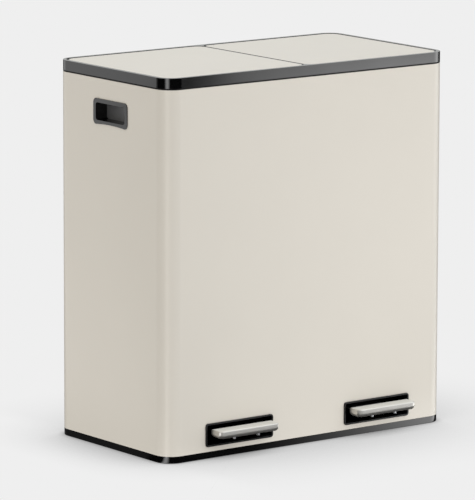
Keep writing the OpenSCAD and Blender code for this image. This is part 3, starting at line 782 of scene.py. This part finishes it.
deselect()
bpy.ops.mesh.primitive_plane_add(size=FLOOR_SIZE, location=(0, 0, 0))
floor = bpy.context.active_object
floor.name = "studio_floor"
floor_paint, floor_tree, matt_floor, floor_place = new_finish("studio_floor_paint")
matt_floor.inputs["Base Color"].default_value = paint(FLOOR_CHART)
matt_floor.inputs["Roughness"].default_value = 0.9
matt_floor.inputs["Specular IOR Level"].default_value = 0.1
floor.data.materials.append(floor_paint)
body_low, body_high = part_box("body_shell")


def ramp(value, start, end, low=0.0, high=1.0):
    """A value mapped from start..end to low..high and held at its ends."""
    node = add(floor_tree, "ShaderNodeMapRange", {"Value": value}, From_Min=start, From_Max=end,
               To_Min=low, To_Max=high)
    return node.outputs["Result"]


def math_node(operation, first, second):
    node = floor_tree.nodes.new("ShaderNodeMath")
    node.operation = operation
    for slot, value in enumerate((first, second)):
        if isinstance(value, (int, float)):
            node.inputs[slot].default_value = value
        else:
            floor_tree.links.new(value, node.inputs[slot])
    return node.outputs["Value"]


def blend_values(share, first, second):
    """first where share is 0, second where it is 1."""
    return math_node("ADD", math_node("MULTIPLY", first, math_node("SUBTRACT", 1.0, share)),
                     math_node("MULTIPLY", second, share))


def distance_along(azimuth):
    """How far a floor point lies from the origin in the direction of an azimuth."""
    a = math.radians(azimuth)
    node = add(floor_tree, "ShaderNodeVectorMath", {"Vector": floor_place}, operation="DOT_PRODUCT")
    node.inputs[1].default_value = (math.sin(a), -math.cos(a), 0)
    return node.outputs["Value"]


def azimuth_from(corner):
    """The direction of a floor point from the axis of an upright corner, in radians."""
    spot = add(floor_tree, "ShaderNodeSeparateXYZ", {"Vector": floor_place})
    return math_node("ARCTAN2", math_node("SUBTRACT", spot.outputs["X"], corner[0]),
                     math_node("SUBTRACT", corner[1], spot.outputs["Y"]))


def from_wall(wall, limits):
    """Two distances from a wall as distances from the middle."""
    return wall + limits[0], wall + limits[1]


def front_cards(ahead, aside):
    """The far card, the card at the foot and the louvred one close to the front."""
    off_front = distance_along(0)
    wall = body_high.y
    edge, end = FRONT_CARD["edge"], FRONT_CARD["end"]
    far_card = ramp(aside, edge, end, FRONT_CARD["dim"], FRONT_CARD["bright"])
    far_card = blend_values(ramp(ahead, *FRONT_CARD["back"]), far_card, FOOT_CARD["bright"])
    far_card = math_node("MULTIPLY", far_card, ramp(aside, *(edge + step for step in FRONT_CARD["fade"])))
    rise = math_node("POWER", ramp(aside, FRONT_FLAG["edge"], FRONT_FLAG["end"]), 2)
    near_card = ramp(rise, 0, 1, FRONT_FLAG["dim"], FRONT_FLAG["bright"])
    ray = floor_tree.nodes.new("ShaderNodeNewGeometry").outputs["Incoming"]
    steepness = add(floor_tree, "ShaderNodeSeparateXYZ", {"Vector": ray}).outputs["Z"]
    near_card = blend_values(ramp(steepness, *FRONT_FLAG["louvre"]), near_card, FRONT_FLAG["dim"])
    at_foot = ramp(off_front, *from_wall(wall, FOOT_CARD["near"]))
    past_foot = ramp(off_front, *from_wall(wall, FOOT_CARD["far"]))
    front = blend_values(past_foot, blend_values(at_foot, near_card, FOOT_CARD["bright"]), far_card)
    in_front = math_node("MULTIPLY", ramp(off_front, wall, wall + mm(5)), ramp(ahead, 0.0, mm(20)))
    return math_node("MULTIPLY", front, in_front)


def side_cards(aside):
    """The card on the left and the narrow strip that lights the upright corner."""
    azimuth = azimuth_from((body_low.x + CORNER_R, body_low.y + CORNER_R))
    off_axis = math_node("ABSOLUTE", math_node("SUBTRACT", azimuth, math.radians(STRIP_CARD["azimuth"])), 0)
    strip = ramp(off_axis, math.radians(STRIP_CARD["half_width"] - STRIP_CARD["fade"]),
                 math.radians(STRIP_CARD["half_width"]), STRIP_CARD["bright"], 0.0)
    left = ramp(distance_along(-90), *from_wall(body_high.x, LEFT_CARD["near"]), LEFT_CARD["dim"],
                LEFT_CARD["bright"])
    turn = ramp(azimuth, *(math.radians(angle) for angle in LEFT_CARD["turn"]), 1.0, 0.0)
    left = math_node("MULTIPLY", math_node("MULTIPLY", left, turn),
                     ramp(aside, *LEFT_CARD["edge"], LEFT_CARD["past_edge"], 1.0))
    return math_node("ADD", left, strip)


def cards():
    """The brightness of all the cards, as a glossy ray sees them."""
    mirrored = -CAMERA_AZIMUTH
    aside = distance_along(mirrored + 90)
    return math_node("ADD", front_cards(distance_along(mirrored), aside), side_cards(aside))


def clean_floor():
    """The floor as the camera sees it: even, and darker where the bin stands close above it."""
    shades = []
    for name in ("front", "left"):
        near = add(floor_tree, "ShaderNodeAmbientOcclusion", samples=8, Distance=SHADOW_REACH[name])
        hidden = math_node("POWER", math_node("SUBTRACT", 1.0, near.outputs["AO"]), SHADOW_CURVE)
        shades.append(math_node("SUBTRACT", 1.0, math_node("MULTIPLY", hidden, SHADOW_DEPTH[name])))
    on_left = ramp(distance_along(-90), *from_wall(body_high.x, LEFT_SHADE))
    shade = blend_values(on_left, *shades)
    touching = add(floor_tree, "ShaderNodeAmbientOcclusion", samples=8, Distance=CONTACT_REACH)
    shade = math_node("MULTIPLY", shade, ramp(touching.outputs["AO"], 0.0, 1.0, 1.0 - CONTACT_DEPTH, 1.0))
    colour = add(floor_tree, "ShaderNodeVectorMath", {"Scale": shade}, operation="SCALE")
    colour.inputs[0].default_value = paint(FLOOR_CHART)[:3]
    return colour.outputs["Vector"]


def join_floor():
    """Give each kind of ray its own floor."""
    ray = floor_tree.nodes.new("ShaderNodeLightPath")
    seen = add(floor_tree, "ShaderNodeEmission", {"Color": clean_floor()})
    lit = add(floor_tree, "ShaderNodeEmission", {"Strength": cards()})
    bounce = add(floor_tree, "ShaderNodeEmission", Color=paint(FLOOR_CHART), Strength=FLOOR_BOUNCE)
    for_diffuse = floor_tree.nodes.new("ShaderNodeMixShader")
    floor_tree.links.new(ray.outputs["Is Diffuse Ray"], for_diffuse.inputs[0])
    floor_tree.links.new(matt_floor.outputs["BSDF"], for_diffuse.inputs[1])
    floor_tree.links.new(bounce.outputs["Emission"], for_diffuse.inputs[2])
    for_glossy = floor_tree.nodes.new("ShaderNodeMixShader")
    floor_tree.links.new(ray.outputs["Is Glossy Ray"], for_glossy.inputs[0])
    floor_tree.links.new(for_diffuse.outputs["Shader"], for_glossy.inputs[1])
    floor_tree.links.new(lit.outputs["Emission"], for_glossy.inputs[2])
    for_camera = floor_tree.nodes.new("ShaderNodeMixShader")
    floor_tree.links.new(ray.outputs["Is Camera Ray"], for_camera.inputs[0])
    floor_tree.links.new(for_glossy.outputs["Shader"], for_camera.inputs[1])
    floor_tree.links.new(seen.outputs["Emission"], for_camera.inputs[2])
    floor_tree.links.new(for_camera.outputs["Shader"], floor_tree.nodes["Material Output"].inputs["Surface"])


join_floor()

# %% Light
SKY_LOW = 0.70
SKY_HIGH = 0.94
BRIGHT_SIDE = (0.72, -0.20, 0.66)
WARM = "FFF8E9"
COOL = "F6FBFF"
world = bpy.data.worlds.new("studio_sky")
bpy.context.scene.world = world
world.use_nodes = True
sky = world.node_tree
way = sky.nodes.new("ShaderNodeTexCoord").outputs["Generated"]
facing = add(sky, "ShaderNodeVectorMath", operation="DOT_PRODUCT")
sky.links.new(way, facing.inputs[0])
facing.inputs[1].default_value = BRIGHT_SIDE
level = add(sky, "ShaderNodeMapRange", {"Value": facing.outputs["Value"]},
            From_Min=-1.0, From_Max=1.0, To_Min=SKY_LOW, To_Max=SKY_HIGH)
sky.links.new(level.outputs["Result"], sky.nodes["Background"].inputs["Strength"])
tint = sky.nodes.new("ShaderNodeValToRGB")
tint.color_ramp.elements[0].color = paint(WARM)
tint.color_ramp.elements[1].color = paint(COOL)
share = add(sky, "ShaderNodeMapRange", {"Value": facing.outputs["Value"]}, From_Min=-1.0, From_Max=1.0)
sky.links.new(share.outputs["Result"], tint.inputs["Fac"])
sky.links.new(tint.outputs["Color"], sky.nodes["Background"].inputs["Color"])

KEY_AZIMUTH = 20
KEY_HEIGHT = 42
light = bpy.data.lights.new("key_light", "SUN")
light.energy = 0.65
light.angle = math.radians(60)
lamp = bpy.data.objects.new("key_light", light)
key_a, key_h = math.radians(KEY_AZIMUTH), math.radians(KEY_HEIGHT)
towards_key = Vector((math.sin(key_a) * math.cos(key_h), -math.cos(key_a) * math.cos(key_h), math.sin(key_h)))
lamp.rotation_euler = towards_key.to_track_quat("Z", "Y").to_euler()
bpy.context.scene.collection.objects.link(lamp)

# %% Camera
CAMERA_HEIGHT_ANGLE = 10.078
CAMERA_ROLL = 0.168
CAMERA_DISTANCE = 8.066
CAMERA_RIGHT = 0.0255
CAMERA_UP = 0.0136
CAMERA_LENS = 337.4


def place_camera():
    a, h = math.radians(CAMERA_AZIMUTH), math.radians(CAMERA_HEIGHT_ANGLE)
    back = Vector((math.sin(a) * math.cos(h), -math.cos(a) * math.cos(h), math.sin(h)))
    right = Vector((math.cos(a), math.sin(a), 0))
    up = back.cross(right)
    roll = math.radians(CAMERA_ROLL)
    right, up = (right * math.cos(roll) + up * math.sin(roll),
                 up * math.cos(roll) - right * math.sin(roll))
    middle = Vector((0, 0, (cad_box[0][2] + cad_box[1][2]) / 2))
    data = bpy.data.cameras.new("studio_camera")
    data.lens = CAMERA_LENS
    data.sensor_width = 36
    data.clip_end = 100
    camera = bpy.data.objects.new("studio_camera", data)
    bpy.context.scene.collection.objects.link(camera)
    turn = Matrix((right, up, back)).transposed()
    spot = middle + back * CAMERA_DISTANCE - right * CAMERA_RIGHT - up * CAMERA_UP
    camera.matrix_world = Matrix.Translation(spot) @ turn.to_4x4()
    bpy.context.scene.camera = camera


place_camera()
bpy.context.scene.view_settings.view_transform = "Standard"
